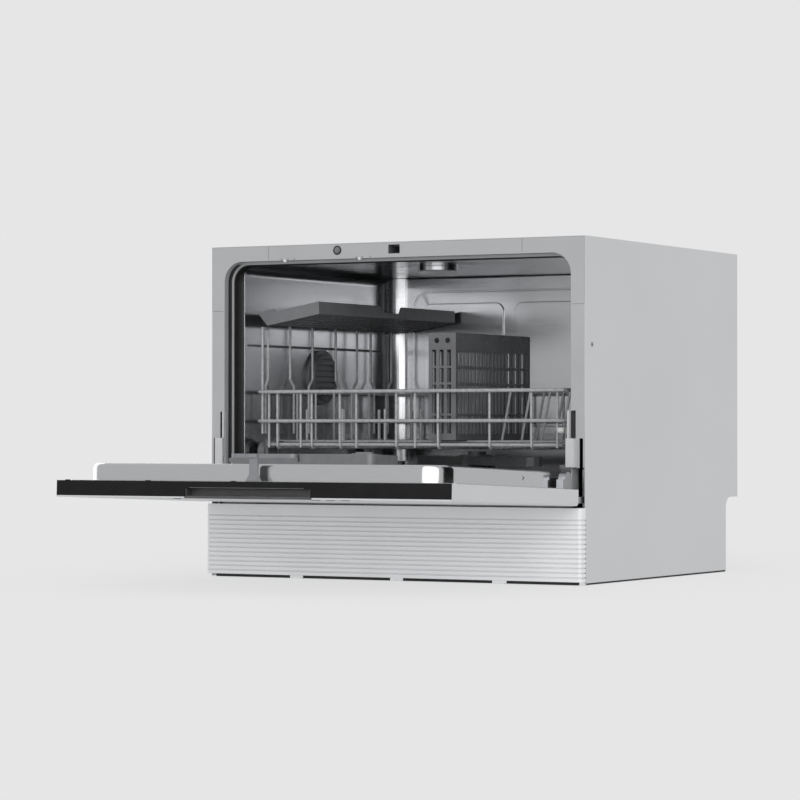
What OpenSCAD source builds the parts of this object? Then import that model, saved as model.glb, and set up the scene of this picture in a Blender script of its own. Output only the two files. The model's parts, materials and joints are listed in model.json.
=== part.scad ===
// Countertop dishwasher for six place settings, with its door folded down.
// Millimetres: X to the right, Y into the cabinet, Z up from the worktop.
// Each module draws its piece with y = 0 at the face of the front frame.
// place() then puts the origin under the middle of the whole footprint, and
// door_pose() also turns a piece drawn on the closed door to the open door.

/* [Cabinet] */
// Width over the side panels
cab_w = 550; // [540:1:570]
// Height from the worktop to the top panel
cab_h = 438; // [436:1:450]
// Depth from the front frame to the rear panel
cab_d = 490; // [480:1:510]
// Depth of the pipe recess at the foot of the rear
recess_d = 41; // [30:1:60]
// Height of the pipe recess
recess_h = 103; // [90:1:110]
// Thickness of the steel sheet
sheet = 0.8; // [0.6:0.1:1.2]

/* [Plinth] */
// Height of the grooved plinth panel
plinth_h = 97; // [96:1:98]
// How far the plinth stands in front of the frame
plinth_out = 13; // [9:1:14]
// Number of grooves across the plinth
groove_n = 13; // [4:1:13]
// Pitch of the grooves
groove_pitch = 6; // [5:0.1:6]

/* [Door] */
// Thickness of the door without its raised liner
door_t = 20.5; // [20:0.5:22]
// Height of the hinge pins over the worktop
pivot_z = 107; // [106:0.5:108]
// Distance of the hinge pins in front of the frame
pivot_out = 27; // [26:0.5:28]
// Angle from closed to open
door_angle = 87.9; // [0:0.1:90]
// Height of the raised steel liner
liner_rise = 22; // [15:1:22]
// Half width of the grip in the door's top edge
grip_half_w = 87; // [60:1:100]

/* [Tub] */
// Half width of the tub inside
tub_half_w = 246; // [240:1:246]
// Height of the tub's ceiling
tub_top = 414; // [405:1:414]
// Height of the tub's floor
tub_floor = 118; // [112:1:122]
// Height of the two ledges that carry the basket's rollers
ledge_z = 150; // [148:0.5:151]

/* [Basket] */
// Half width of the wire basket
basket_half_w = 229; // [226:1:230]
// Front of the wire basket
basket_front = 42; // [41:1:60]
// Rear of the wire basket
basket_back = 424; // [400:1:426]
// Height of the top rail
rail_top = 245.5; // [236:0.5:250]
// Height of the middle rail
rail_mid = 206.5; // [200:0.5:212]
// Height of the lowest wires
floor_z = 171; // [171:0.5:172]
// Tilt of the cup shelf
shelf_tilt = 10; // [5:1:12]

/* [Hidden] */
$fn = 48;

silver = "#BDBEC0";
frame_grey = "#B0B1B3";
steel = "#C9CACB";
black = "#242424";
dark_plastic = "#4A4C4E";
rubber = "#2B2B2B";
wire_grey = "#A9ABAD";

half_w = cab_w / 2;
shell_z = 0.6;
plinth_z = 4.5;
plinth_over = 0.8;
recess_r = 15;
recess_y = cab_d - recess_d;
head_t = 0.6;
recess_face = recess_y - head_t;
inner_half = half_w - sheet;

// the closed door: its outer and inner faces, foot and top
pivot_y = -pivot_out;
pin_r = 2.5;
door_out = 7;
door_y0 = pivot_y - door_out;
door_y1 = door_y0 + door_t;
door_z0 = pivot_z - 6.5;
door_z1 = cab_h;
door_half = half_w + 0.5;
skin_t = 1.5;
liner_y = door_y1 + liner_rise;
liner_half = 251.5;
liner_z0 = 117;
liner_z1 = 414.5;
side_wall = 2.3;

// the footprint's middle, from the open door's tip to the rear panel
tip_y = pivot_y - (door_z1 - pivot_z) * sin(door_angle) - door_out * cos(door_angle);
mid_y = (cab_d + tip_y) / 2;

// the opening in the front frame
open_half = 255.3;
open_z0 = 112;
open_z1 = 417.7;
open_r = 27;
frame_deep = 19;
tub_front = 37;
tub_back = 440;
tub_r = 14;
tub_edge_r = 2.5;
gasket_y0 = frame_deep;
low_half = tub_half_w - 24;
sill_z = 135;

bead_deep = 0.3;

latch_x = 2;
latch_z = 428.5;
plunger_x = -83;
plunger_z = 429.5;

bays = [[-190, -62], [-43, 85], [104, 206]];

arm_c = [0, 238];
sump_c = [80, 130];
salt_c = [-150, 360];
pump_x = 186;
pump_z = 56;
vent_c = [236, 268];
ceiling_c = [-20, 165];
roller_r = 15;
roller_z = ledge_z + roller_r + 0.3;
roller_y = [72, 363];

tray_h = 95;
tray_z = 6;
tray_wall = 2.5;
rib_h = 10;
tray_half = inner_half;
tray_back = recess_face - sheet - 0.2;
foot_x = 235;
foot_y = [32, 412];

// wires touch at their welds
rail_r = 2.5;
wire_r = 1.8;
weld = rail_r + wire_r - 0.05;
rail_low = floor_z + weld;
cross_z = rail_low + weld;
cross_y = [88, 138, 188, 238, 288, 338, 388];
post_x = 214;
stub_z = 194;

shelf_y0 = 42;
shelf_y1 = 428;
shelf_w = 91;
shelf_hinge = [weld - basket_half_w, 352];
shelf_low = 19.5;
shelf_foot = 7;
shelf_lip = 4.5;
clip_half = 22;
loop_y = [149, 273, 372.5];
loop_top = 30;
loop_foot = 20;

cut_x0 = 25;
cut_x1 = 65;
cut_y0 = 52;
cut_y1 = 268;
cut_z0 = cross_z + wire_r + 0.1;
cut_z1 = 321;
slot_pitch = 10.2;

button_x = [-118, 78, 98, 118];
button_z = 409;
button_r = 5.4;

module place() translate([0, -mid_y, 0]) children();

module door_pose()
    place() translate([0, pivot_y, pivot_z]) rotate([door_angle, 0, 0])
        translate([0, -pivot_y, -pivot_z]) children();

// extrude an outline of X and Z from y0 to y1
module along_y(y0, y1)
    translate([0, y1, 0]) rotate([90, 0, 0]) linear_extrude(y1 - y0) children();

// extrude an outline of Y and Z from x0 to x1
module along_x(x0, x1)
    translate([x0, 0, 0]) rotate([90, 0, 90]) linear_extrude(x1 - x0) children();

// extrude an outline of X and Y from z0 to z1
module along_z(z0, z1) translate([0, 0, z0]) linear_extrude(z1 - z0) children();

module block(a, b) translate(a) cube(b - a);

// rectangle from a to b, with radius rb at its lower corners and rt at its upper ones
module rounded(a, b, rb, rt) {
    w = b[0] - a[0];
    h = b[1] - a[1];
    translate([a[0], a[1] + rb]) square([w, h - rb - rt]);
    translate([a[0] + rb, a[1]]) square([w - 2 * rb, rb + 0.5]);
    translate([a[0] + rt, b[1] - rt - 0.5]) square([w - 2 * rt, rt + 0.5]);
    for (x = [a[0] + rb, b[0] - rb]) translate([x, a[1] + rb]) circle(rb);
    for (x = [a[0] + rt, b[0] - rt]) translate([x, b[1] - rt]) circle(rt);
}

module both_sides() for (s = [-1, 1]) mirror([s < 0 ? 1 : 0, 0, 0]) children();

// round bar of eight sides from a to b
module rod(a, b, r) {
    d = b - a;
    translate(a) rotate([0, acos(d[2] / norm(d)), atan2(d[1], d[0])])
        cylinder(h = norm(d), r = r, $fn = 8);
}

// bar through a list of points, with each piece run on a little past its ends
module bent_rod(points, r)
    for (i = [0 : len(points) - 2]) {
        d = (points[i + 1] - points[i]) / norm(points[i + 1] - points[i]);
        rod(points[i] - d * r * 0.4, points[i + 1] + d * r * 0.4, r);
    }

// ---------- cabinet ----------

module recess_outline(grow) {
    r = recess_r + grow;
    y0 = recess_y - grow;
    z1 = recess_h + grow;
    translate([y0 + r, -5]) square([cab_d, z1 + 5]);
    translate([y0, -5]) square([cab_d, z1 + 5 - r]);
    translate([y0 + r, z1 - r]) circle(r);
}

module side_profile(inset)
    difference() {
        translate([0, shell_z]) square([cab_d - inset, cab_h - inset - shell_z]);
        recess_outline(inset);
    }

module outer_shell()
    place() color(silver) difference() {
        along_x(-half_w, half_w) side_profile(0);
        block([-inner_half, -1, -1], [inner_half, cab_d + 1, cab_h - sheet]);
        both_sides() translate([half_w - 3, 20, 302]) rotate([0, 90, 0]) cylinder(h = 6, r = 1.7);
    }

module rear_panel()
    place() color(frame_grey) difference() {
        along_x(0.2 - inner_half, inner_half - 0.2) intersection() {
            difference() {
                side_profile(head_t);
                side_profile(head_t + sheet);
            }
            translate([recess_y - 5, 8]) square([recess_d + 10, cab_h - sheet - 8.2]);
        }
        // pressed beads round three bays
        for (x = [-172, 0, 172])
            along_y(cab_d - head_t - 0.35, cab_d + 1) difference() {
                rounded([x - 78, 140], [x + 78, 400], 16, 16);
                rounded([x - 74, 144], [x + 74, 396], 12, 12);
            }
        // openings for the inlet, the drain and the mains lead
        translate([190, recess_y + 1, 52]) rotate([90, 0, 0]) cylinder(h = 3, r = 17.2);
        translate([132, recess_y + 1, 52]) rotate([90, 0, 0]) cylinder(h = 3, r = 13.2);
        translate([-196, recess_y + 1, 52]) rotate([90, 0, 0]) cylinder(h = 3, r = 9.2);
        for (x = [-256, 256], z = [126, 270, 414])
            translate([x, cab_d + 1, z]) rotate([90, 0, 0]) cylinder(h = 3, r = 1.8);
    }

module base_tray()
    place() color("#8E9092") difference() {
        union() {
            difference() {
                block([-tray_half, 0, tray_z], [tray_half, tray_back, tray_h]);
                block([tray_wall - tray_half, tray_wall, tray_z + tray_wall],
                    [tray_half - tray_wall, tray_back - tray_wall, tray_h + 1]);
            }
            // stiffening ribs on the floor
            for (x = [-180 : 60 : 180])
                block([x - 1, 2, tray_z + 1], [x + 1, tray_back - 2, tray_z + rib_h]);
            for (y = [74, 150, 226, 302, 378])
                block([2 - tray_half, y - 1, tray_z + 1], [tray_half - 2, y + 1, tray_z + rib_h]);
            for (x = [-foot_x, foot_x], y = foot_y)
                translate([x, y, tray_z + 1]) cylinder(h = 22, r = 9);
            // posts that carry the ledges of the tub
            for (s = [-1, 1], y = [92, 350])
                block([s * 237 - 9, y, tray_z + 1], [s * 237 + 9, y + 26, ledge_z - sheet]);
        }
        for (x = [-foot_x, foot_x], y = foot_y)
            translate([x, y, tray_z - 1]) cylinder(h = 20, r = 5.1);
        // outlet holes at the rear
        translate([190, tray_back + 1, 52]) rotate([90, 0, 0]) cylinder(h = 8, r = 17.2);
        translate([132, tray_back + 1, 52]) rotate([90, 0, 0]) cylinder(h = 8, r = 13.2);
        translate([-196, tray_back + 1, 52]) rotate([90, 0, 0]) cylinder(h = 8, r = 9.2);
    }

// plan of the plinth, drawn in by a groove's depth
module plinth_plan(inset)
    intersection() {
        rounded([inset - half_w - plinth_over, inset - plinth_out], [half_w + plinth_over - inset, 20],
            5 - inset, 1);
        translate([-half_w - 5, -plinth_out - 5]) square([cab_w + 10, plinth_out + 5]);
    }

module plinth_panel()
    place() color(silver) difference() {
        union() {
            along_z(plinth_z, plinth_h) plinth_plan(1.2);
            // smooth band at the top, then one lip between each pair of grooves
            along_z(plinth_h - 14.5, plinth_h) plinth_plan(0);
            for (i = [0 : groove_n - 1])
                along_z(plinth_h - 16 - (i + 1) * groove_pitch + 1.5, plinth_h - 16 - i * groove_pitch)
                    plinth_plan(0);
            // short tabs that stand lower than the panel's edge
            for (x = [-136, 13, 162])
                block([x - 9, 1 - plinth_out, 1], [x + 9, 4 - plinth_out, plinth_z + 1]);
        }
        block([3 - half_w, 3.5 - plinth_out, -1], [half_w - 3, 20, plinth_h - 2.5]);
    }

module feet()
    place() color(rubber) for (x = [-foot_x, foot_x], y = foot_y) translate([x, y, 0]) {
        cylinder(h = 2, r = 15);
        translate([0, 0, 1.9]) cylinder(h = tray_z - 1.9, r = 17);
        translate([0, 0, tray_z - 0.1]) cylinder(h = 16, r = 5);
    }

module opening(grow)
    rounded([-open_half - grow, open_z0 - grow], [open_half + grow, open_z1 + grow],
        10 + grow, open_r + grow);

module front_frame()
    place() color(frame_grey) difference() {
        union() {
            along_y(0, 1.5) translate([0.2 - inner_half, plinth_h + 1])
                square([2 * inner_half - 0.4, cab_h - sheet - plinth_h - 1.2]);
            along_y(0, frame_deep) opening(1.5);
            // flange on the outer edge, inside the side panels
            both_sides() block([inner_half - 1.7, 0, 190], [inner_half, 12, cab_h - sheet - 1]);
        }
        along_y(-1, frame_deep - 1.2) opening(0);
        along_y(0, frame_deep + 1) opening(-3.5);
        // latch slot, plunger hole and the pockets that the hinges pass through
        block([latch_x - 8.5, -1, latch_z - 5.75], [latch_x + 8.5, 3, latch_z + 5.75]);
        translate([plunger_x, 3, plunger_z]) rotate([90, 0, 0]) cylinder(h = 5, r = 5.1);
        both_sides() block([open_half + 1.6, -1, plinth_h], [half_w, frame_deep + 1, 147]);
        both_sides() block([267, -1, 140], [272, 3, 184]);
        both_sides() block([open_half + 1.6, -1, 184], [open_half + 6.6, 3, 219]);
    }

// ---------- tub ----------

module tub_front_outline(grow) {
    rounded([-tub_half_w - grow, ledge_z - grow], [tub_half_w + grow, tub_top + grow],
        3 + grow, tub_r + grow);
    rounded([-low_half - grow, tub_floor - grow], [low_half + grow, ledge_z + 20], 8 + grow, 3);
}

module tub_body(grow, y0)
    intersection() {
        along_y(y0, tub_back + grow) tub_front_outline(grow);
        // plan with round rear corners
        along_z(tub_floor - 10, tub_top + 10)
            rounded([-tub_half_w - grow, y0 - 60], [tub_half_w + grow, tub_back + grow], 5, 32 + grow);
        // side view with a round edge along the top of the rear wall
        along_x(-tub_half_w - 10, tub_half_w + 10)
            difference() {
                translate([y0 - 1, tub_floor - 10]) square([tub_back + grow - y0 + 1, tub_top + 20]);
                translate([tub_back - tub_edge_r, tub_top - tub_edge_r]) difference() {
                    square(60);
                    circle(tub_edge_r + grow);
                }
            }
    }

// one pressed bay of the rear wall, standing 2.5 mm into the tub
module pressed_bay(x0, x1)
    along_y(tub_back - 2.5, tub_back + 0.2) rounded([x0, 200], [x1, 376], 12, 12);

module tub()
    place() color(steel) difference() {
        union() {
            tub_body(sheet, tub_front);
            along_y(tub_front - sheet, tub_front) rounded([-252, open_z0 + 2], [252, open_z1 - 1.7], 8, 25);
        }
        difference() {
            tub_body(0, tub_front - 5);
            for (b = bays) pressed_bay(b[0], b[1]);
            // sill across the front of the sunk floor
            block([-260, tub_front - 6, tub_floor - 5], [260, tub_front, sill_z]);
        }
        // hollows behind the pressed bays
        for (b = bays)
            along_y(tub_back - 2.5 + sheet, tub_back + 5)
                rounded([b[0] + sheet, 200 + sheet], [b[1] - sheet, 376 - sheet], 11, 11);
        // holes in the floor, the left wall and the ceiling
        translate([sump_c[0], sump_c[1], tub_floor - 3]) cylinder(h = 6, r = 52);
        translate([arm_c[0], arm_c[1], tub_floor - 3]) cylinder(h = 6, r = 14.2);
        translate([salt_c[0], salt_c[1], tub_floor - 3]) cylinder(h = 6, r = 30.2);
        translate([-tub_half_w - 3, vent_c[0], vent_c[1]]) rotate([0, 90, 0]) cylinder(h = 6, r = 20.2);
        translate([ceiling_c[0], ceiling_c[1], tub_top - 3]) cylinder(h = 8, r = 12.2);
        // shallow beads pressed into the left wall and round the bays of the rear wall
        block([-tub_half_w - bead_deep, 60, 306.5], [-tub_half_w + 1, tub_back - 60, 309.5]);
        along_y(tub_back - 1, tub_back + bead_deep) difference() {
            rounded([-208, 186], [218, 395], 14, 24);
            rounded([-205.5, 188.5], [215.5, 392.5], 11.5, 21.5);
        }
    }

module tub_gasket()
    place() color(rubber) difference() {
        along_y(gasket_y0, tub_front - sheet) opening(-0.4);
        along_y(gasket_y0 - 1, tub_front) opening(-4.5);
        along_y(gasket_y0 + 5, gasket_y0 + 8) opening(-3);
    }

// ---------- hinges ----------

module hinge_brackets()
    place() color(steel) both_sides() difference() {
        union() {
            along_x(267.5, 271.5) {
                translate([pivot_y, pivot_z]) circle(5);
                translate([pivot_y, pivot_z - 4]) square([38, 8]);
                translate([8, tray_h]) square([52, 50]);
            }
            block([268, 8, tray_h], [tray_half, 60, tray_h + 3]);
        }
        for (y = [22, 46], z = [106, 132])
            translate([266, y, z]) rotate([0, 90, 0]) cylinder(h = 8, r = 2.2);
        translate([266, pivot_y, pivot_z]) rotate([0, 90, 0]) cylinder(h = 8, r = pin_r);
    }

module hinge_pins()
    place() color("#8A8C8E") both_sides() translate([257, pivot_y, pivot_z]) rotate([0, 90, 0])
        cylinder(h = 14.5, r = pin_r);

module hinge_covers()
    place() color(frame_grey) both_sides() {
        difference() {
            block([252.5, -10, 148], [264, 0, 184]);
            block([254, -8.5, 146], [262.5, -1.5, 182.5]);
            block([252, -7, 152], [254.5, -4, 160]);
        }
        // tall guard over the cover
        block([252.8, -6, 184], [255.2, 0, 219]);
    }

// ---------- latch and door switch ----------

module latch_housing()
    place() color(dark_plastic) difference() {
        block([latch_x - 17, 1.5, open_z1 + 3], [latch_x + 17, 40, cab_h - sheet - 0.3]);
        block([latch_x - 8.5, 0, latch_z - 5.75], [latch_x + 8.5, 34, latch_z + 5.75]);
        // guide for the pawl
        block([latch_x - 7.06, 8.94, latch_z], [latch_x + 7.06, 14.06, cab_h - sheet - 1.5]);
    }

module latch_pawl()
    place() color("#8F9193") difference() {
        block([latch_x - 7, 9, latch_z + 3.4], [latch_x + 7, 14, latch_z + 7]);
        translate([latch_x, 8, latch_z + 3.4]) rotate([-55, 0, 0]) cube([20, 6, 6], center = true);
    }

module strike_hook()
    door_pose() color("#7F8183") difference() {
        union() {
            block([latch_x - 5.6, door_y1 - 0.6, latch_z - 3.6], [latch_x + 5.6, 20, latch_z + 0.4]);
            // lip that the pawl drops behind
            block([latch_x - 5.6, 15.5, latch_z], [latch_x + 5.6, 20, latch_z + 2.8]);
            // flared foot on the liner's rim
            hull() {
                block([latch_x - 8, door_y1, latch_z - 6], [latch_x + 8, door_y1 + 1.5, latch_z + 4]);
                block([latch_x - 5.6, door_y1, latch_z - 3.6], [latch_x + 5.6, door_y1 + 9, latch_z + 0.4]);
            }
        }
        block([latch_x - 7, door_y1 - 2, latch_z - 8], [latch_x + 7, door_y1, latch_z + 8]);
    }

module door_switch()
    place() color(dark_plastic) difference() {
        block([plunger_x - 13, 1.5, open_z1 + 3], [plunger_x + 13, 30, cab_h - sheet - 0.3]);
        translate([plunger_x, 25, plunger_z]) rotate([90, 0, 0]) cylinder(h = 30, r = 4.7);
    }

module switch_plunger()
    place() color("#9A9C9E") translate([plunger_x, 18, plunger_z]) rotate([90, 0, 0]) {
        cylinder(h = 18.5, r = 4.64);
        translate([0, 0, 18.4]) cylinder(h = 1.1, r = 3);
    }

// ---------- water system ----------

module sump()
    place() color(dark_plastic) translate([sump_c[0], sump_c[1], 0]) difference() {
        union() {
            translate([0, 0, 62]) cylinder(h = tub_floor - sheet - 62, r = 58);
            translate([0, 0, 50]) cylinder(h = 13, r = 40);
            // pipe to the wash pump and to the spray hub
            translate([50, 0, 78]) rotate([0, 90, 0]) cylinder(h = 16, r = 12);
            translate([0, 0, 82]) rotate([0, 90, atan2(arm_c[1] - sump_c[1], arm_c[0] - sump_c[0])])
                cylinder(h = norm(arm_c - sump_c) - 14.3, r = 8);
        }
        translate([0, 0, 65]) cylinder(h = 70, r = 51);
        translate([0, 0, 53]) cylinder(h = 14, r = 36);
    }

module filter_plate()
    place() color(steel) difference() {
        intersection() {
            translate([sump_c[0], sump_c[1], tub_floor]) cylinder(h = 1.2, r = 84);
            block([-215, tub_front + 4, 0], [215, 400, 300]);
        }
        translate([sump_c[0], sump_c[1], tub_floor - 2]) cylinder(h = 6, r = 38);
        translate([arm_c[0], arm_c[1], tub_floor - 2]) cylinder(h = 6, r = 30);
        for (a = [0 : 15 : 345], r = [46, 54, 62])
            translate([sump_c[0] + r * cos(a), sump_c[1] + r * sin(a), tub_floor - 1])
                cylinder(h = 4, r = 2, $fn = 6);
    }

module filter_cup()
    place() color("#6E7072") translate([sump_c[0], sump_c[1], 0]) difference() {
        union() {
            translate([0, 0, 68]) cylinder(h = tub_floor + 5 - 68, r = 36);
            translate([0, 0, tub_floor + 1.25]) cylinder(h = 4, r = 44);
            block([-26, -3, tub_floor + 4], [26, 3, tub_floor + 17]);
        }
        translate([0, 0, 71]) cylinder(h = tub_floor - 71 + 1, r = 33);
        for (s = [-1, 1]) block([s * 19 - 13, -30, tub_floor], [s * 19 + 13, -5, tub_floor + 20]);
        for (s = [-1, 1]) block([s * 19 - 13, 5, tub_floor], [s * 19 + 13, 30, tub_floor + 20]);
        // windows of the basket strainer
        for (a = [0 : 30 : 330]) rotate([0, 0, a + 15])
            block([28, -5.5, 76], [40, 5.5, tub_floor - 6]);
    }

module spray_hub()
    place() color(dark_plastic) translate([arm_c[0], arm_c[1], 0]) difference() {
        union() {
            translate([0, 0, 70]) cylinder(h = 72, r = 14);
            translate([0, 0, tub_floor]) cylinder(h = 6, r = 26);
            translate([0, 0, 141]) cylinder(h = 24, r = 8);
            // cap that keeps the arm on its post
            translate([0, 0, 161.2]) cylinder(h = 4.4, r = 12.5);
        }
        translate([0, 0, 65]) cylinder(h = 60, r = 9);
    }

// one wing of the arm, from the hub to its tip
module spray_wing()
    intersection() {
        along_x(0, 186) rounded([-21, 147], [21, 159], 4, 5);
        along_z(140, 165) polygon([[0, -21], [150, -15], [178, -11], [186, -4],
            [186, 4], [178, 11], [150, 15], [0, 21]]);
    }

module spray_arm()
    place() color("#77797B") translate([arm_c[0], arm_c[1], 0]) rotate([0, 0, -38]) difference() {
        union() {
            spray_wing();
            rotate([0, 0, 180]) spray_wing();
            translate([0, 0, 142.1]) cylinder(h = 18.9, r = 24);
        }
        translate([0, 0, 140]) cylinder(h = 30, r = 8.06);
        // jets along both wings
        for (s = [-1, 1], i = [0 : 5])
            translate([s * (44 + i * 25), s * 5, 156]) cylinder(h = 6, r = 1.8, $fn = 8);
    }

module salt_tank()
    place() color("#D8D9D6") translate([salt_c[0], salt_c[1], 0]) difference() {
        union() {
            block([-60, -62, 22], [52, 60, 104]);
            translate([0, 0, 100]) cylinder(h = tub_floor - 99, r = 30);
            translate([0, 0, tub_floor + 0.02]) cylinder(h = 4, r = 36);
        }
        translate([0, 0, 60]) cylinder(h = 80, r = 24);
        translate([0, 0, tub_floor + 2]) cylinder(h = 9, r = 28.6);
    }

module salt_cap()
    place() color("#E4E5E3") translate([salt_c[0], salt_c[1], 0]) difference() {
        union() {
            translate([0, 0, 104]) cylinder(h = 20, r = 23.6);
            translate([0, 0, tub_floor + 2.05]) cylinder(h = 9.15, r = 28);
            for (a = [0 : 30 : 330]) rotate([0, 0, a])
                translate([25.5, 0, tub_floor + 3]) cylinder(h = 8, r = 2.8);
        }
        block([-20, -22, tub_floor + 8], [20, -4, tub_floor + 13]);
        block([-20, 4, tub_floor + 8], [20, 22, tub_floor + 13]);
    }

module breather_cap()
    place() color(dark_plastic) translate([-tub_half_w, vent_c[0], vent_c[1]]) rotate([0, 90, 0])
        difference() {
            union() {
                translate([0, 0, 0.05]) cylinder(h = 5, r = 38);
                translate([0, 0, 4]) cylinder(h = 6, r = 32);
                translate([0, 0, -9]) cylinder(h = 10, r = 20);
            }
            translate([0, 0, -10]) cylinder(h = 12, r = 16);
            for (z = [-24 : 8 : 24])
                block([z - 1.6, -sqrt(29 * 29 - z * z), 7], [z + 1.6, sqrt(29 * 29 - z * z), 12]);
        }

module ceiling_vent()
    place() color(steel) translate([ceiling_c[0], ceiling_c[1], tub_top]) difference() {
        union() {
            translate([0, 0, -6]) cylinder(h = 5.9, r = 26);
            translate([0, 0, -0.2]) cylinder(h = 8, r = 12);
        }
        translate([0, 0, -3]) cylinder(h = 12, r = 9);
        for (a = [0 : 60 : 300]) rotate([0, 0, a]) translate([17, 0, -7]) cylinder(h = 3, r = 3);
    }

module wash_pump()
    place() color("#5A5C5E") translate([pump_x, sump_c[1] + 17, pump_z]) {
        rotate([-90, 0, 0]) cylinder(h = 96, r = 33);
        translate([-39.9, -17, 22]) rotate([0, 90, 0]) cylinder(h = 20, r = 12);
        rotate([90, 0, 0]) cylinder(h = 34, r = 40);
        for (i = [0 : 5]) translate([0, 22 + i * 12, 0]) rotate([-90, 0, 0]) cylinder(h = 4, r = 36);
        block([-30, 10, tray_z + rib_h - pump_z], [30, 84, -20]);
    }

module drain_pump()
    place() color("#6B6D6F") translate([20, 330, 46]) {
        rotate([-90, 0, 0]) cylinder(h = 58, r = 22);
        rotate([90, 0, 0]) cylinder(h = 26, r = 29);
        block([-24, 6, tray_z + rib_h - 46], [24, 50, -14]);
    }

module inlet_valve()
    place() color("#D0D1CE") translate([190, 0, 52]) difference() {
        union() {
            translate([0, recess_y + 24, 0]) rotate([90, 0, 0]) cylinder(h = 28, r = 13.22);
            translate([0, recess_y + 2, 0]) rotate([90, 0, 0]) cylinder(h = 18, r = 16);
            // flange against the tray's rear wall, then the valve's body
            translate([0, tray_back - tray_wall, 0]) rotate([90, 0, 0]) cylinder(h = 3, r = 21);
            block([-20, recess_y - 66, -22], [20, tray_back - tray_wall - 2, 22]);
        }
        translate([0, recess_y + 26, 0]) rotate([90, 0, 0]) cylinder(h = 34, r = 9);
    }

module drain_spigot()
    place() color("#C8C9C6") translate([132, 0, 52]) difference() {
        union() {
            translate([0, recess_y + 30, 0]) rotate([90, 0, 0]) cylinder(h = 60, r = 9.5);
            translate([0, recess_face + 4, 0]) rotate([90, 0, 0]) cylinder(h = 4, r = 16);
            translate([0, recess_y, 0]) rotate([90, 0, 0]) cylinder(h = 20, r = 13);
        }
        translate([0, recess_y + 40, 0]) rotate([90, 0, 0]) cylinder(h = 80, r = 7);
    }

module cord_gland()
    place() color(black) translate([-196, 0, 52]) difference() {
        union() {
            translate([0, recess_face + 4, 0]) rotate([90, 0, 0]) cylinder(h = 4, r = 13);
            translate([0, recess_y + 12, 0]) rotate([90, 0, 0]) cylinder(h = 26, r = 9);
        }
        translate([0, recess_y + 20, 0]) rotate([90, 0, 0]) cylinder(h = 50, r = 4.2);
    }

module heater()
    place() color("#8C8E90") translate([pump_x, sump_c[1] - 17, pump_z]) {
        rotate([90, 0, 0]) cylinder(h = 26, r = 38);
        for (x = [-16, 16]) translate([x, -25, 0]) rotate([90, 0, 0]) cylinder(h = 14, r = 4);
    }

module leak_float()
    place() color("#E9E9E4") translate([-120, 150, tray_z + rib_h]) {
        cylinder(h = 24, r = 26);
        translate([0, 0, 23]) cylinder(h = 12, r = 4);
    }

// a screw's flat head of radius r and its shank, facing +Z
module panel_screw(r, head) {
    cylinder(h = head, r = r);
    translate([0, 0, -6]) cylinder(h = 6.1, r = r * 0.45);
}

module panel_screws()
    place() color("#8A8C8E") {
        both_sides() translate([half_w, 20, 302]) rotate([0, 90, 0]) panel_screw(3, 0.5);
        for (x = [-256, 256], z = [126, 270, 414])
            translate([x, cab_d - head_t, z]) rotate([-90, 0, 0]) panel_screw(3.6, head_t);
    }

// ---------- door, drawn closed ----------

// side view of the door from its outer face to y1, with a round foot
module door_profile(y0, y1, z1) {
    r = 6;
    difference() {
        translate([y0, door_z0]) square([y1 - y0, z1 - door_z0]);
        translate([door_y0 - 0.01, door_z0 - 0.01]) difference() {
            square(r);
            translate([r, r]) circle(r);
        }
    }
}

module door_panel()
    door_pose() color("#D5D6D8") difference() {
        union() {
            along_x(-door_half, door_half) door_profile(door_y0, door_y0 + skin_t, door_z1);
            // hem folded in along the top edge
            block([side_wall + 0.2 - door_half, door_y0, door_z1 - 6],
                [door_half - side_wall - 0.2, door_y0 + 3, door_z1]);
        }
        // openings for the control fascia and the grip
        along_y(door_y0 - 1, door_y0 + 2) rounded([-140, 399], [140, 423], 5, 5);
        block([-grip_half_w - 2, door_y0 - 1, door_z1 - 13], [grip_half_w + 2, door_y0 + 4, door_z1 + 1]);
    }

module door_frame()
    door_pose() color("#B7B8BA") difference() {
        along_x(-door_half, door_half) door_profile(door_y0 + skin_t, door_y1, door_z1);
        // room for the inside, the end cap and the hinges
        block([-249, door_y0, door_z0 + 12], [249, door_y1 + 1, door_z1 + 1]);
        both_sides() block([252, door_y0, 131], [271, door_y1 - 2, door_z1 - 23]);
        block([side_wall - door_half, door_y0, door_z1 - 21],
            [door_half - side_wall, door_y1 + 1, door_z1 + 1]);
        both_sides() block([255.5, door_y0, door_z0 - 1], [door_half - side_wall, door_y1 + 1, door_z0 + 26]);
    }

module door_end_cap()
    door_pose() color(black) difference() {
        union() {
            block([side_wall + 0.2 - door_half, door_y0 + 3.1, door_z1 - 21],
                [door_half - side_wall - 0.2, door_y1, door_z1]);
            // three latching bumps on the inner edge
            for (x = [-263, -145, -23])
                block([x - 3, door_y1 - 0.5, door_z1 - 7], [x + 3, door_y1 + 1, door_z1 - 4]);
        }
        // grip and the hollow behind the cap's face
        block([-grip_half_w, door_y0 + 3, door_z1 - 14], [grip_half_w, door_y0 + 12, door_z1 + 1]);
        for (s = [-1, 1])
            block([s * 180 - 84, door_y0 + 5, door_z1 - 22], [s * 180 + 84, door_y1 - 2, door_z1 - 3]);
    }

module grip_lip()
    door_pose() color(black) difference() {
        block([-grip_half_w - 1.8, door_y0 + 0.1, door_z1 - 12.8],
            [grip_half_w + 1.8, door_y0 + 3.1, door_z1]);
        block([-grip_half_w + 1, door_y0 + 1.6, door_z1 - 11], [grip_half_w - 1, door_y0 + 4, door_z1 - 2]);
    }

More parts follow.
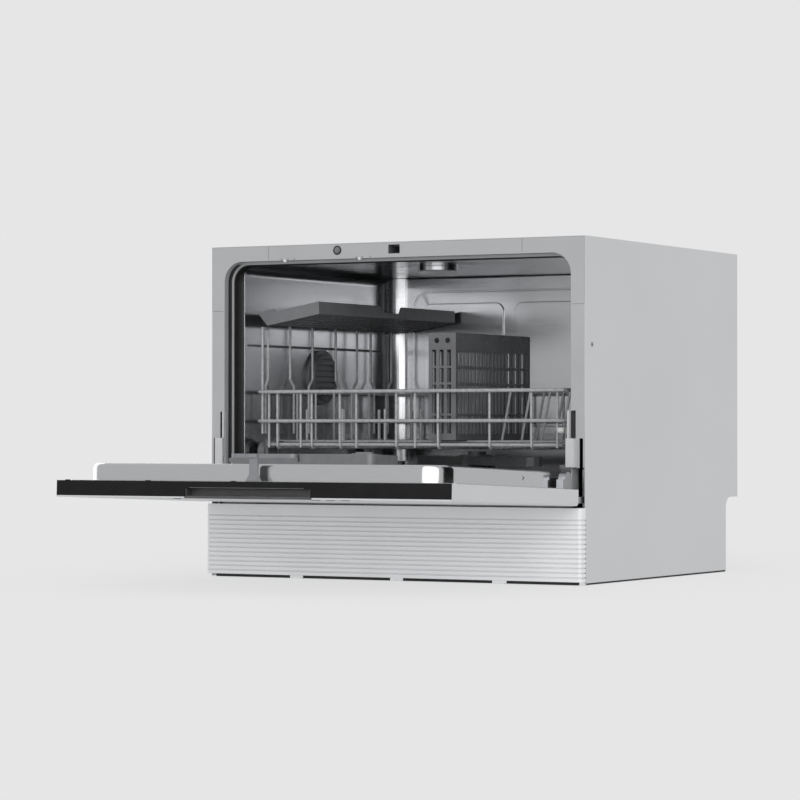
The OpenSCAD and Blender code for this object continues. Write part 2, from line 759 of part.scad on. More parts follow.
// the liner's raised face with its soft edges, drawn in by a wall's thickness
module liner_form(inset)
    hull() {
        along_y(door_y1 - 3, liner_y - 5 - inset)
            rounded([inset - liner_half, liner_z0 + inset], [liner_half - inset, liner_z1 - inset],
                18 - inset, 30 - inset, $fn = 32);
        along_y(liner_y - 5 - inset, liner_y - 1.5 - inset)
            rounded([inset + 1.4 - liner_half, liner_z0 + inset + 1.4],
                [liner_half - inset - 1.4, liner_z1 - inset - 1.4], 17 - inset, 29 - inset, $fn = 32);
        along_y(liner_y - 1.5 - inset, liner_y - inset)
            rounded([inset + 4 - liner_half, liner_z0 + inset + 4],
                [liner_half - inset - 4, liner_z1 - inset - 4], 14 - inset, 26 - inset, $fn = 32);
    }

module door_liner()
    door_pose() color(steel) difference() {
        union() {
            difference() {
                along_y(door_y1 + 0.02, door_y1 + 0.02 + sheet) rounded([-272, 103], [272, 417], 3, 6);
                both_sides() block([255, -40, 90], [280, 20, door_z0 + 27]);
            }
            difference() {
                liner_form(0);
                block([-300, door_y1 - 9, 90], [300, door_y1 + 0.02, 430]);
            }
        }
        difference() {
            liner_form(sheet);
            // two shallow steps pressed into the face
            along_y(liner_y - 2.6, liner_y + 1) rounded([-226, 136], [226, 232], 14, 14);
        }
        along_y(liner_y - 1.8, liner_y + 1) rounded([-225, 137], [225, 231], 13, 13);
        // opening that the dispenser is set in
        block([-98, -10, 255], [100, 20, 313]);
    }

module hinge_blocks()
    door_pose() color("#A7A8AA") both_sides() difference() {
        union() {
            along_x(257.3, 266.5) difference() {
                union() {
                    translate([pivot_y, pivot_z]) circle(5.4);
                    translate([pivot_y - 5.2, pivot_z]) square([liner_y - pivot_y - 4.8, 19.5]);
                    translate([pivot_y, pivot_z - 5.4]) square([liner_y - pivot_y - 10, 12]);
                    translate([liner_y - 10, pivot_z + 4.6]) circle(10);
                }
                translate([liner_y - 10, pivot_z - 6]) square([11, 0.1]);
            }
        }
        translate([250, pivot_y, pivot_z]) rotate([0, 90, 0]) cylinder(h = 20, r = pin_r + 0.06);
    }

module dispenser_body()
    door_pose() color("#85878A") difference() {
        union() {
            along_y(liner_y - 8, liner_y + 4) rounded([-96, 257], [98, 311], 6, 6);
            along_y(liner_y + 0.05, liner_y + 5) rounded([-102, 250], [104, 318], 9, 9);
            along_y(liner_y + 4, liner_y + 15) rounded([-4, 250], [104, 318], 9, 9);
            // rails that hold the sliding lid
            for (z = [251, 313.5]) block([-102, liner_y + 4, z], [-3, liner_y + 9.6, z + 3.5]);
        }
        // detergent bowl
        along_y(liner_y - 6, liner_y + 6) rounded([-88, 262], [-14, 306], 12, 12);
        translate([72, liner_y + 11, 284]) rotate([-90, 0, 0]) cylinder(h = 6, r = 15.3);
    }

module dispenser_lid()
    door_pose() color("#909295") difference() {
        along_y(liner_y + 9.65, liner_y + 15) rounded([-102, 251], [-6, 317], 9, 9);
        for (i = [0 : 3]) block([-96 + i * 5, liner_y + 13.6, 268], [-93.6 + i * 5, liner_y + 16, 300]);
    }

module rinse_cap()
    door_pose() color("#B9BBBD") translate([72, liner_y, 284]) rotate([-90, 0, 0]) difference() {
        union() {
            translate([0, 0, 11.05]) cylinder(h = 5.35, r = 15);
            block([-11, -2, 16], [11, 2, 18.5]);
        }
        for (a = [0 : 60 : 300]) rotate([0, 0, a]) translate([15.5, 0, 13]) cylinder(h = 5, r = 1.6);
    }

module control_fascia()
    door_pose() color(black) difference() {
        union() {
            along_y(door_y0 + 0.1, door_y0 + 1.4) rounded([-139.6, 399.4], [139.6, 422.6], 4.6, 4.6);
            along_y(door_y0 + 1.6, door_y0 + 2.8) rounded([-144, 392], [144, 423.6], 5, 5);
            along_y(door_y0 + 0.2, door_y0 + 2.8) rounded([-139, 400], [139, 422], 4, 4);
            // posts that hold the circuit board
            for (x = [-131, 0, 131], z = [397, 412])
                translate([x, door_y0 + 8.6, z]) rotate([90, 0, 0]) cylinder(h = 7, r = 2.6);
        }
        for (x = button_x)
            translate([x, door_y0 - 1, button_z]) rotate([-90, 0, 0]) cylinder(h = 6, r = button_r + 0.3);
        block([-30, door_y0, 404], [30, door_y0 + 0.7, 418]);
    }

module control_board()
    door_pose() color("#3E6B4A") {
        block([-136, door_y0 + 8.6, 378], [136, door_y0 + 10.2, 417]);
        for (x = [-118, -96, 60, 126]) block([x - 5, door_y0 + 10, 384], [x + 5, door_y0 + 15, 394]);
        // switches that the buttons press
        for (x = button_x)
            translate([x, door_y0 + 8.7, button_z]) rotate([90, 0, 0]) cylinder(h = 2, r = 3);
    }

module push_button(i)
    door_pose() color("#3A3A3A") translate([button_x[i], door_y0 - 0.6, button_z]) rotate([-90, 0, 0]) {
        cylinder(h = 6, r = button_r);
        translate([0, 0, 3.45]) cylinder(h = 1.4, r = button_r + 1.4);
    }

module power_button() push_button(0);
module program_button() push_button(1);
module delay_button() push_button(2);
module start_button() push_button(3);

// ---------- basket ----------

// closed rail round the basket, set in from its outline, with cut corners
module rail_loop(inset, z, c) {
    x = basket_half_w - inset;
    y0 = basket_front + inset;
    y1 = basket_back - inset;
    bent_rod([[c - x, y0, z], [x - c, y0, z], [x, y0 + c, z], [x, y1 - c, z], [x - c, y1, z],
        [c - x, y1, z], [-x, y1 - c, z], [-x, y0 + c, z], [c - x, y0, z]], rail_r);
}

module basket_rails()
    place() color(wire_grey) {
        rail_loop(0, rail_top, 4);
        rail_loop(0, rail_mid, 4);
        rail_loop(2 * weld, rail_low, 4);
    }

module basket_wires()
    place() color(wire_grey) {
        y0 = basket_front + weld;
        y1 = basket_back - weld;
        x = basket_half_w - weld;
        c = 2.5;
        // wires from the front rails down, under the dishes and up to the rear rails
        for (wx = [-201, -148, -105, -20, 42, 117, 177])
            bent_rod([[wx, y0, rail_top + 1], [wx, y0, floor_z + c], [wx, y0 + c, floor_z],
                [wx, y1 - c, floor_z], [wx, y1, floor_z + c], [wx, y1, rail_top + 1]], wire_r);
        // straight posts at the front, the right one with a stub for the soft tip
        for (wx = [-post_x, -165, -80, 8, post_x])
            rod([wx, y0, rail_low - 4], [wx, y0, rail_top + 1], wire_r);
        rod([post_x, y0, stub_z], [post_x + 7, y0, stub_z], wire_r);
        // wires across, resting on the bottom rail
        for (wy = cross_y)
            bent_rod([[-x, wy, rail_top + 1], [-x, wy, cross_z + c], [c - x, wy, cross_z],
                [x - c, wy, cross_z], [x, wy, cross_z + c], [x, wy, rail_top + 1]], wire_r);
    }

module basket_uprights()
    place() color(wire_grey) {
        side = 2 * wire_r - 0.05;
        // slanted plate tines on the right, welded to the side of the wires across
        for (wx = [86 : 29 : 202], i = [1, 3, 5])
            rod([wx, cross_y[i] + side, cross_z - 2], [wx + 14, cross_y[i] + side, rail_top + 2], wire_r);
        // short upright tines on the left
        for (wx = [-182, -127, -62], i = [0, 2, 4, 6])
            rod([wx, cross_y[i] + side, cross_z - 2], [wx, cross_y[i] + side, rail_mid + 16], wire_r);
        // tall loops that carry the cup shelf
        x = shelf_hinge[0];
        foot = rail_mid - 16;
        knee = [rail_top + 8, rail_top + 18];
        for (wy = loop_y) {
            z = shelf_hinge[1];
            bent_rod([[x, wy - loop_foot, foot], [x, wy - loop_foot, knee[0]], [x, wy - loop_top, knee[1]],
                [x, wy - loop_top, z], [x, wy + loop_top, z], [x, wy + loop_top, knee[1]],
                [x, wy + loop_foot, knee[0]], [x, wy + loop_foot, foot]], wire_r);
            // round stretch that the shelf turns on
            translate([x, wy - 28, z]) rotate([-90, 0, 0]) cylinder(h = 56, r = 1.94);
        }
        // narrow loop at the front corner, which ends below the shelf
        bent_rod([[x, 47, foot], [x, 47, 331], [x, 61, 331], [x, 61, knee[1]], [x, 55, knee[0]],
            [x, 55, foot]], wire_r);
    }

module roller_brackets()
    place() color("#C4C6C8") both_sides() for (y = roller_y) {
        difference() {
            union() {
                block([224, y - 12, roller_z - 10], [228.3, y + 12, roller_z + 18]);
                block([213.5, y - 12, rail_low - 4.8], [226, y + 12, rail_low + 4.8]);
            }
            // seat for the basket's bottom rail
            translate([basket_half_w - 2 * weld, y - 13, rail_low]) rotate([-90, 0, 0])
                cylinder(h = 26, r = 2.6);
        }
        translate([228, y, roller_z]) rotate([0, 90, 0]) cylinder(h = 13.5, r = 3);
        translate([240, y, roller_z]) rotate([0, 90, 0]) cylinder(h = 1.6, r = 5);
    }

module roller(s, y)
    place() color("#DADBDC") translate([s * 229.2 - (s < 0 ? 10.2 : 0), y, roller_z]) rotate([0, 90, 0])
        difference() {
            union() {
                cylinder(h = 10.2, r = roller_r - 1);
                translate([0, 0, 2]) cylinder(h = 6.2, r = roller_r);
            }
            translate([0, 0, -1]) cylinder(h = 13, r = 3.06);
            for (z = [-1, 8.6]) translate([0, 0, z]) difference() {
                cylinder(h = 2.6, r = 11.5);
                cylinder(h = 2.6, r = 5.5);
            }
        }

module roller_front_left() roller(-1, roller_y[0]);
module roller_front_right() roller(1, roller_y[0]);
module roller_rear_left() roller(-1, roller_y[1]);
module roller_rear_right() roller(1, roller_y[1]);

// cross-section of the cup shelf about its hinge, drawn in by a wall's thickness
module shelf_section(t, top)
    polygon([[shelf_foot + t, t - shelf_low], [shelf_w - 2.5 - t, t - shelf_low], [shelf_w - t, top],
        [t - shelf_lip, top]]);

module cup_shelf() {
    t = 2.4;
    place() color(dark_plastic) translate([shelf_hinge[0], 0, shelf_hinge[1]]) rotate([0, -shelf_tilt, 0])
        difference() {
            union() {
                difference() {
                    along_y(shelf_y0, shelf_y1) shelf_section(0, 0);
                    along_y(shelf_y0 + t, shelf_y1 - t) shelf_section(t, 6);
                    // the outer rim is lower than the inner one
                    block([20, shelf_y0 - 1, -3], [shelf_w + 1, shelf_y1 + 1, 2]);
                    // gaps that the wire loops stand in
                    for (wy = loop_y) block([-12, wy - loop_top - 4, -30], [3.4, wy + loop_top + 4, 5]);
                }
                // upright wall, its two webs and the clip behind each loop
                for (wy = loop_y) {
                    web = loop_top + 5;
                    block([3.4, wy - web, -14], [6, wy + web, 0]);
                    for (s = [-1, 1])
                        along_y(wy + s * web - 1, wy + s * web + 1)
                            polygon([[shelf_foot, -shelf_low], [9, -shelf_low + 1], [6, 0], [-shelf_lip, 0]]);
                    translate([0, wy - clip_half, 0]) rotate([-90, 0, 0])
                        cylinder(h = 2 * clip_half, r = 4.2);
                    block([0, wy - clip_half, -4], [4.5, wy + clip_half, 4]);
                }
            }
            // bores for the hinge wires
            for (wy = loop_y)
                translate([0, wy - clip_half - 1, 0]) rotate([-90, 0, 0])
                    cylinder(h = 2 * clip_half + 2, r = 2);
            // notch with slanted sides in the outer rim
            along_x(shelf_w - 6, shelf_w + 1) polygon([[214, -12], [265, -12], [276, 3], [203, 3]]);
            // perforated floor
            for (i = [0 : 5], j = [0 : 24])
                translate([16 + i * 12.6, shelf_y0 + 14 + j * 15 + (i % 2) * 7.5, -shelf_low - 1])
                    cylinder(h = 5, r = 5, $fn = 6);
        }
}

module cutlery_basket()
    place() color(dark_plastic) difference() {
        block([cut_x0, cut_y0, cut_z0], [cut_x1, cut_y1, cut_z1]);
        block([cut_x0 + 2.2, cut_y0 + 2.2, cut_z0 + 2.2], [cut_x1 - 2.2, cut_y1 - 2.2, cut_z1 + 1]);
        // slots along both long sides, with the bars across them left standing
        for (i = [0 : 19], z = [[190, 213], [216, 253.5], [256.5, 275], [278, 297]])
            block([cut_x0 - 1, cut_y0 + 7 + i * slot_pitch, z[0]],
                [cut_x1 + 1, cut_y0 + 13.5 + i * slot_pitch, z[1]]);
        // slots in both ends
        for (i = [0 : 2], z = [[190, 213], [216, 253.5], [256.5, 275], [278, 299]])
            block([cut_x0 + 5 + i * 11, cut_y0 - 1, z[0]], [cut_x0 + 11 + i * 11, cut_y1 + 1, z[1]]);
        // round holes in the top band: two in each end and zigzag rows along the sides
        for (x = [cut_x0 + 12, cut_x0 + 28])
            translate([x, cut_y0 - 1, 311]) rotate([-90, 0, 0]) cylinder(h = cut_y1, r = 3.6);
        for (i = [0 : 3], j = [0 : 3])
            translate([cut_x0 - 1, 62 + i * 58 + j * 9.6, 310.5 + (j % 2) * 5.5]) rotate([0, 90, 0])
                cylinder(h = 60, r = 2.2, $fn = 8);
        // slots across the floor
        for (i = [0 : 19])
            block([cut_x0 + 6, cut_y0 + 7 + i * slot_pitch, cut_z0 - 1],
                [cut_x1 - 6, cut_y0 + 12 + i * slot_pitch, cut_z0 + 3]);
    }

// soft tip on the wire stub at the front right corner
module basket_end_caps()
    place() color("#F2F2F0") translate([post_x + 2.3, basket_front + weld, stub_z]) rotate([0, 90, 0])
        difference() {
            union() {
                cylinder(h = 7, r = 4);
                translate([0, 0, 6.9]) cylinder(h = 1.4, r = 3);
            }
            translate([0, 0, -1]) cylinder(h = 6, r = 1.85);
        }

outer_shell();
rear_panel();
base_tray();
plinth_panel();
feet();
front_frame();
tub();
tub_gasket();
hinge_brackets();
hinge_pins();
hinge_covers();
latch_housing();
latch_pawl();
door_switch();
switch_plunger();
sump();
filter_plate();
filter_cup();
spray_hub();
spray_arm();
salt_tank();
salt_cap();
breather_cap();
ceiling_vent();
wash_pump();
drain_pump();
inlet_valve();
drain_spigot();
cord_gland();
heater();
leak_float();
panel_screws();
door_panel();
door_frame();
door_end_cap();
grip_lip();
door_liner();
hinge_blocks();
strike_hook();
dispenser_body();
dispenser_lid();
rinse_cap();
control_fascia();
control_board();
power_button();
program_button();
delay_button();
start_button();
basket_rails();
basket_wires();
basket_uprights();
roller_brackets();
roller_front_left();
roller_front_right();
roller_rear_left();
roller_rear_right();
cup_shelf();
cutlery_basket();
basket_end_caps();
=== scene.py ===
"""Finishes, small trim and stage for a countertop dishwasher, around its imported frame."""
import json
import math

import bmesh
import bpy
from bpy.props import BoolProperty, FloatProperty, PointerProperty, StringProperty
from mathutils import Matrix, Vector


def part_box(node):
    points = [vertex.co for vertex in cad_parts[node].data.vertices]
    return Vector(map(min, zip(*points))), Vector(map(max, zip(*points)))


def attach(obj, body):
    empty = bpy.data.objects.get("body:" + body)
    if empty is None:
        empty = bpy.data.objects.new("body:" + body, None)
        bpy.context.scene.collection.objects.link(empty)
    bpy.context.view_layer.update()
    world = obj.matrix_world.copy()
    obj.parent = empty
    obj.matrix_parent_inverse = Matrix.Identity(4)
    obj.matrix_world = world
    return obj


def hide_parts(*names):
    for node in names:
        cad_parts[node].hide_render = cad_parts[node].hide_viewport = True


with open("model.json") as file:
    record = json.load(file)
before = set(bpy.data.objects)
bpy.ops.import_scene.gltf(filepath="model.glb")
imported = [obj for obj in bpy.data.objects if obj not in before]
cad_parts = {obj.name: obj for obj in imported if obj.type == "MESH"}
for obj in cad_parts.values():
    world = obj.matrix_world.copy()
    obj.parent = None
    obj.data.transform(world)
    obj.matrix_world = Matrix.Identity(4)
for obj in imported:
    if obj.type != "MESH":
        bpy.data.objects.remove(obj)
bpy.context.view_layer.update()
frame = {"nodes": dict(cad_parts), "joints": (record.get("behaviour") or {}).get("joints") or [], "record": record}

bl_info = {
    "name": "Countertop dishwasher",
    "version": (1, 0, 0),
    "blender": (4, 5, 0),
    "location": "View3D > Sidebar > Dishwasher",
    "description": "Finishes a countertop dishwasher and sets up its studio",
    "category": "Object",
}

MM = 0.001
# drawn millimetres, with y = 0 at the face of the front frame, to the frame's metres
CABINET = Matrix.Translation((0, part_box("front_frame")[0].y, 0)) @ Matrix.Scale(MM, 4)
# the door is drawn closed and opens about its pins, by the whole range of its joint
HINGE = next(joint for joint in frame["joints"] if joint["name"] == "door_hinge")
PINS = Matrix.Translation(HINGE["pos_m"])
SWING = Matrix.Rotation(math.radians(HINGE["range_deg"][1]), 4, "X")
DOOR = PINS @ SWING @ PINS.inverted() @ CABINET

# drawn sizes: half the widths of the cabinet and the door, and the top of both
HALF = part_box("outer_shell")[1].x / MM
DOOR_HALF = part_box("door_panel")[1].x / MM
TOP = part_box("outer_shell")[1].z / MM
# the opening in the front frame: half its width, its top and the radius of its upper corners
OPENING_HALF = 255.3
OPENING_TOP = 417.7
OPENING_R = 27
# on the closed door: the control fascia's outer face, half the grip's width and the lamps
FASCIA = -33.9
GRIP_HALF = 86.9
LAMP_X = (-74, -62, -50, 46, 58)

# slot in the record of each piece
SLOTS = {row["node"]: row["material_slot"] for row in frame["record"]["subparts"]}


# ---------- colours and nodes ----------

def linear(hex_colour):
    """The linear RGBA of an sRGB hex colour."""
    parts = [int(hex_colour[i:i + 2], 16) / 255 for i in (1, 3, 5)]
    return (*[p / 12.92 if p <= 0.04045 else ((p + 0.055) / 1.055) ** 2.4 for p in parts], 1.0)


def add(tree, kind, values=None, links=None, **settings):
    """Adds a node, with its settings, its input values and the sockets that feed it."""
    node = tree.nodes.new(kind)
    for name, value in settings.items():
        setattr(node, name, value)
    for key, value in (values or {}).items():
        node.inputs[key].default_value = value
    for key, socket in (links or {}).items():
        tree.links.new(socket, node.inputs[key])
    return node


def material(name):
    """A new material and its node tree."""
    made = bpy.data.materials.new(name)
    made.use_nodes = True
    return made, made.node_tree


def finish(name, colour, roughness, metallic=0.0, edge=0.5, **sockets):
    """A material with one Principled shader, whose corners look rounded to edge millimetres."""
    made, tree = material(name)
    shader = tree.nodes["Principled BSDF"]
    shader.inputs["Base Color"].default_value = linear(colour)
    shader.inputs["Roughness"].default_value = roughness
    shader.inputs["Metallic"].default_value = metallic
    for key, value in sockets.items():
        shader.inputs[key.replace("_", " ")].default_value = value
    place = add(tree, "ShaderNodeTexCoord").outputs["Object"]
    corner = add(tree, "ShaderNodeBevel", {"Radius": edge * MM}, samples=4)
    tree.links.new(corner.outputs["Normal"], shader.inputs["Normal"])
    return made, tree, shader, place


# nearly all of the noise lies between these values
NOISE_ENDS = (0.3, 0.7)
# the fine lines that rolling leaves along a steel sheet
ROLLING = {"size": 0.6, "stretch": (60, 60, 1), "detail": 3}


def grain(tree, place, size, stretch=(1, 1, 1), detail=2.0):
    """Noise with spots of about that size in millimetres, drawn out along an axis by stretch."""
    mapped = add(tree, "ShaderNodeMapping", {"Scale": [1 / s for s in stretch]}, {"Vector": place})
    noise = add(tree, "ShaderNodeTexNoise", {"Scale": 1 / (size * MM), "Detail": detail},
                {"Vector": mapped.outputs["Vector"]})
    return noise.outputs["Fac"]


def tint(tree, shader, pattern, dark, light, ends=NOISE_ENDS):
    """Colours the shader between two hex colours, as a pattern goes between its ends."""
    ramp = add(tree, "ShaderNodeValToRGB", links={"Fac": pattern})
    for stop, end, shade in zip(ramp.color_ramp.elements, ends, (dark, light)):
        stop.position = end
        stop.color = linear(shade)
    tree.links.new(ramp.outputs["Color"], shader.inputs["Base Color"])


def spread(tree, pattern, ends, low, high):
    """A value that goes from low to high, as a pattern goes between its ends."""
    limits = {"From Min": ends[0], "From Max": ends[1], "To Min": low, "To Max": high}
    return add(tree, "ShaderNodeMapRange", limits, {"Value": pattern}).outputs["Result"]


def vary_gloss(tree, shader, pattern, low, high):
    """Spreads the roughness between low and high by a pattern."""
    tree.links.new(spread(tree, pattern, NOISE_ENDS, low, high), shader.inputs["Roughness"])


def relief(tree, shader, pattern, depth, strength=1.0):
    """Bumps the surface by a pattern, with a depth in millimetres, on top of its rounded corners."""
    under = shader.inputs["Normal"].links[0].from_socket
    bump = add(tree, "ShaderNodeBump", {"Strength": strength, "Distance": depth * MM},
               {"Height": pattern, "Normal": under})
    tree.links.new(bump.outputs["Normal"], shader.inputs["Normal"])


def grained(name, colour, roughness, fine, clouds, shades, gloss, bump, edge=0.5):
    """A finish with a fine grain in its gloss and relief and slow clouds of colour, both in millimetres."""
    made, tree, shader, place = finish(name, colour, roughness, edge=edge)
    spots = grain(tree, place, fine)
    tint(tree, shader, grain(tree, place, clouds), *shades)
    vary_gloss(tree, shader, spots, *gloss)
    relief(tree, shader, spots, *bump)
    return made


# ---------- finishes ----------

def silver_coat():
    """Polyester powder coat on steel sheet: satin, with a faint orange peel of about 1.5 mm."""
    return grained("satin_powder_coat", "#C3C4C6", 0.42, fine=1.5, clouds=260,
                   shades=("#C3C4C6", "#C6C7C9"), gloss=(0.38, 0.46), bump=(0.02, 0.5))


def lit_powder_coat():
    """The same powder coat, painted a shade lighter on the plinth to stand in for the light it gets under the
    door.
    """
    return grained("pale_powder_coat", "#E2E3E5", 0.36, fine=1.5, clouds=90,
                   shades=("#E1E2E4", "#E6E7E9"), gloss=(0.32, 0.4), bump=(0.02, 0.5), edge=0.9)


def frame_plastic():
    """Moulded ABS with a fine spark-eroded grain: matt grey."""
    return grained("moulded_abs_grey", "#A7A8AA", 0.5, fine=0.7, clouds=60,
                   shades=("#A5A6A8", "#AAABAD"), gloss=(0.46, 0.56), bump=(0.02, 0.6))


def cover_plastic():
    """Moulded ABS in the cabinet's silver: smoother than the frame."""
    return grained("moulded_abs_silver", "#C2C3C5", 0.4, fine=0.7, clouds=20,
                   shades=("#C0C1C3", "#C5C6C8"), gloss=(0.36, 0.46), bump=(0.02, 0.5))


def tray_plastic():
    """Glass-filled polypropylene: mid grey, dull."""
    made, tree, shader, place = finish("filled_polypropylene", "#8E9092", 0.6)
    fine = grain(tree, place, 1.2)
    tint(tree, shader, fine, "#8A8C8E", "#939597")
    relief(tree, shader, fine, 0.04)
    return made


def stainless():
    """Cold-rolled ferritic stainless sheet: bright and smooth, with faint rolling lines."""
    made, tree, shader, place = finish("cold_rolled_stainless", "#BABBBD", 0.15, 1.0, edge=1.4)
    lines = grain(tree, place, **ROLLING)
    tint(tree, shader, lines, "#B7B8BA", "#BEBFC1")
    vary_gloss(tree, shader, lines, 0.12, 0.18)
    relief(tree, shader, grain(tree, place, 70), 0.15, 0.5)
    return made


def liner_steel():
    """The door liner's pressed stainless: smooth, with soft pressed corners."""
    made, tree, shader, place = finish("pressed_stainless", "#BABBBD", 0.14, 1.0, edge=1.6)
    lines = grain(tree, place, **ROLLING)
    tint(tree, shader, lines, "#B8B9BB", "#BDBEC0")
    vary_gloss(tree, shader, lines, 0.12, 0.17)
    return made


def tub_steel():
    """The tub's drawn stainless: wavier than flat sheet, with painted shade that darkens it towards the floor."""
    bare_steel, painted_floor_shade = "#B4B5B7", "#5C5D5F"
    rise = (0.118, 0.185)  # heights in metres over which the painted shade fades up the wall into the bare steel
    made, tree, shader, place = finish("drawn_stainless", bare_steel, 0.18, 1.0, edge=1.4)
    vary_gloss(tree, shader, grain(tree, place, **ROLLING), 0.14, 0.23)
    relief(tree, shader, grain(tree, place, 60, stretch=(1, 1, 4)), 0.3, 0.5)
    height = add(tree, "ShaderNodeSeparateXYZ", links={"Vector": place}).outputs["Z"]
    tint(tree, shader, spread(tree, height, rise, 0, 1), painted_floor_shade, bare_steel, ends=(0, 1))
    return made


def gloss_black():
    """Polished black ABS: near-mirror, with a faint haze."""
    made, tree, shader, place = finish("polished_black_abs", "#121213", 0.18, Specular_IOR_Level=0.18)
    haze = grain(tree, place, 30)
    tint(tree, shader, haze, "#101011", "#151516")
    vary_gloss(tree, shader, haze, 0.16, 0.26)
    return made


def dark_plastic():
    """Talc-filled polypropylene: charcoal, with a soft sheen and a moulded grain."""
    return grained("charcoal_polypropylene", "#616264", 0.42, fine=0.9, clouds=25,
                   shades=("#5D5E60", "#666769"), gloss=(0.38, 0.5), bump=(0.03, 0.6))


def shelf_plastic():
    """The folding shelf's polypropylene: the charcoal a little faded."""
    return grained("faded_polypropylene", "#6C6D70", 0.42, fine=0.9, clouds=25,
                   shades=("#68696C", "#727376"), gloss=(0.38, 0.5), bump=(0.03, 0.6))


def rubber():
    """EPDM rubber: black and dull, with a dusting bloom; also laid as painted shade along the foot, under the
    plinth and in screw recesses.
    """
    made, tree, shader, place = finish("epdm_rubber", "#1B1B1B", 0.6, Specular_IOR_Level=0.25)
    bloom = grain(tree, place, 8)
    tint(tree, shader, bloom, "#181818", "#212121")
    relief(tree, shader, grain(tree, place, 0.5), 0.03)
    return made


def coated_wire():
    """Nylon dip over steel wire: smooth grey, a little waxy."""
    made, tree, shader, place = finish("nylon_coated_wire", "#A6A8AA", 0.28, edge=1.2)
    slow = grain(tree, place, 6)
    tint(tree, shader, slow, "#A0A2A4", "#ADAFB1")
    vary_gloss(tree, shader, slow, 0.22, 0.34)
    return made


def pale_plastic():
    """Acetal: off-white, smooth and faintly translucent."""
    made, tree, shader, place = finish("natural_acetal", "#EBEBE8", 0.32)
    tint(tree, shader, grain(tree, place, 12), "#E8E8E5", "#EFEFEC")
    relief(tree, shader, grain(tree, place, 0.8), 0.02, 0.5)
    return made


def grey_plastic():
    """Dyed acetal for wheels and small fittings: mid grey and slippery."""
    made, tree, shader, place = finish("dyed_acetal", "#6E7072", 0.32)
    tint(tree, shader, grain(tree, place, 12), "#6A6C6E", "#737577")
    relief(tree, shader, grain(tree, place, 0.8), 0.02, 0.5)
    return made


def zinc():
    """Zinc-plated steel: bluish grey with a soft crystalline mottle."""
    made, tree, shader, place = finish("zinc_plated_steel", "#9D9FA2", 0.34, 1.0)
    spangle = grain(tree, place, 3.5, detail=4)
    tint(tree, shader, spangle, "#95979B", "#A6A8AA")
    vary_gloss(tree, shader, spangle, 0.28, 0.42)
    return made


def motor_casting():
    """Die-cast aluminium: light grey, slightly rough skin."""
    made, tree, shader, place = finish("diecast_aluminium", "#8D8F92", 0.45, 1.0)
    skin = grain(tree, place, 1.4)
    tint(tree, shader, skin, "#86888B", "#94969A")
    vary_gloss(tree, shader, skin, 0.4, 0.55)
    relief(tree, shader, skin, 0.05)
    return made


def circuit_board():
    """Glass-epoxy laminate under green solder mask, with a faint weave."""
    made, tree, shader, place = finish("solder_masked_laminate", "#2F5B3C", 0.4)
    tint(tree, shader, grain(tree, place, 1.0, stretch=(4, 1, 1)), "#2A5436", "#356444")
    return made


def grip_sheen_plastic():
    """Black ABS inside the grip, the band's own colour in truth: painted a lighter grey as sheen, and scuffed to a
    satin by fingers.
    """
    made, tree, shader, place = finish("scuffed_black_abs", "#434345", 0.4)
    scuff = grain(tree, place, 4, stretch=(6, 1, 1), detail=4)
    tint(tree, shader, scuff, "#3C3C3E", "#4C4C4E")
    vary_gloss(tree, shader, scuff, 0.3, 0.5)
    return made


def dispenser_plastic():
    """Mid-grey polypropylene of the dispenser and the strike: satin, with the dark parts' grain."""
    return grained("grey_polypropylene", "#7D7F82", 0.36, fine=0.9, clouds=25,
                   shades=("#797B7E", "#828487"), gloss=(0.32, 0.44), bump=(0.02, 0.6))


def seam_shadow():
    """The dark bottom of a joint, with a little dust in it; also painted shade along the tub's pressed bead and
    painted shadow beside the lip's clips.
    """
    made, tree, shader, place = finish("joint_shadow", "#6B6C6E", 0.8, edge=0.1)
    tint(tree, shader, grain(tree, place, 2), "#646567", "#737476")
    return made


def shade_lining():
    """Painted shade: a satin black sheet laid on the sides of the opening and in the hinge slots, where those lie
    in shade.
    """
    made, tree, shader, place = finish("black_vinyl", "#262627", 0.3, Specular_IOR_Level=0.3)
    tint(tree, shader, grain(tree, place, 14), "#222223", "#2B2B2C")
    return made


def display_glass():
    """Smoked polycarbonate over the display: dark, very smooth, with a faint green cast."""
    made, tree, shader, place = finish("smoked_polycarbonate", "#0E1110", 0.06)
    haze = grain(tree, place, 12)
    tint(tree, shader, haze, "#0C0F0E", "#111513")
    return made


def mark_ink():
    """Pale grey screen-print ink: matt, slightly uneven in cover."""
    made, tree, shader, place = finish("screen_print_ink", "#C9CBCC", 0.6, edge=0.05)
    tint(tree, shader, grain(tree, place, 0.8), "#C2C4C5", "#D2D4D5")
    return made


FINISHES = {
    "silver_paint": silver_coat,
    "pale_paint": lit_powder_coat,
    "steel": stainless,
    "tub_steel": tub_steel,
    "liner_steel": liner_steel,
    "cover": cover_plastic,
    "frame_plastic": frame_plastic,
    "tray_plastic": tray_plastic,
    "black_gloss": gloss_black,
    "dark_plastic": dark_plastic,
    "shelf_plastic": shelf_plastic,
    "rubber": rubber,
    "coated_wire": coated_wire,
    "pale_plastic": pale_plastic,
    "grey_plastic": grey_plastic,
    "zinc": zinc,
    "motor": motor_casting,
    "board": circuit_board,
    "grip": grip_sheen_plastic,
    "dispenser": dispenser_plastic,
    "seam": seam_shadow,
    "lining": shade_lining,
    "glass": display_glass,
    "ink": mark_ink,
}
ROLLERS = [f"roller_{end}_{side}" for end in ("front", "rear") for side in ("left", "right")]
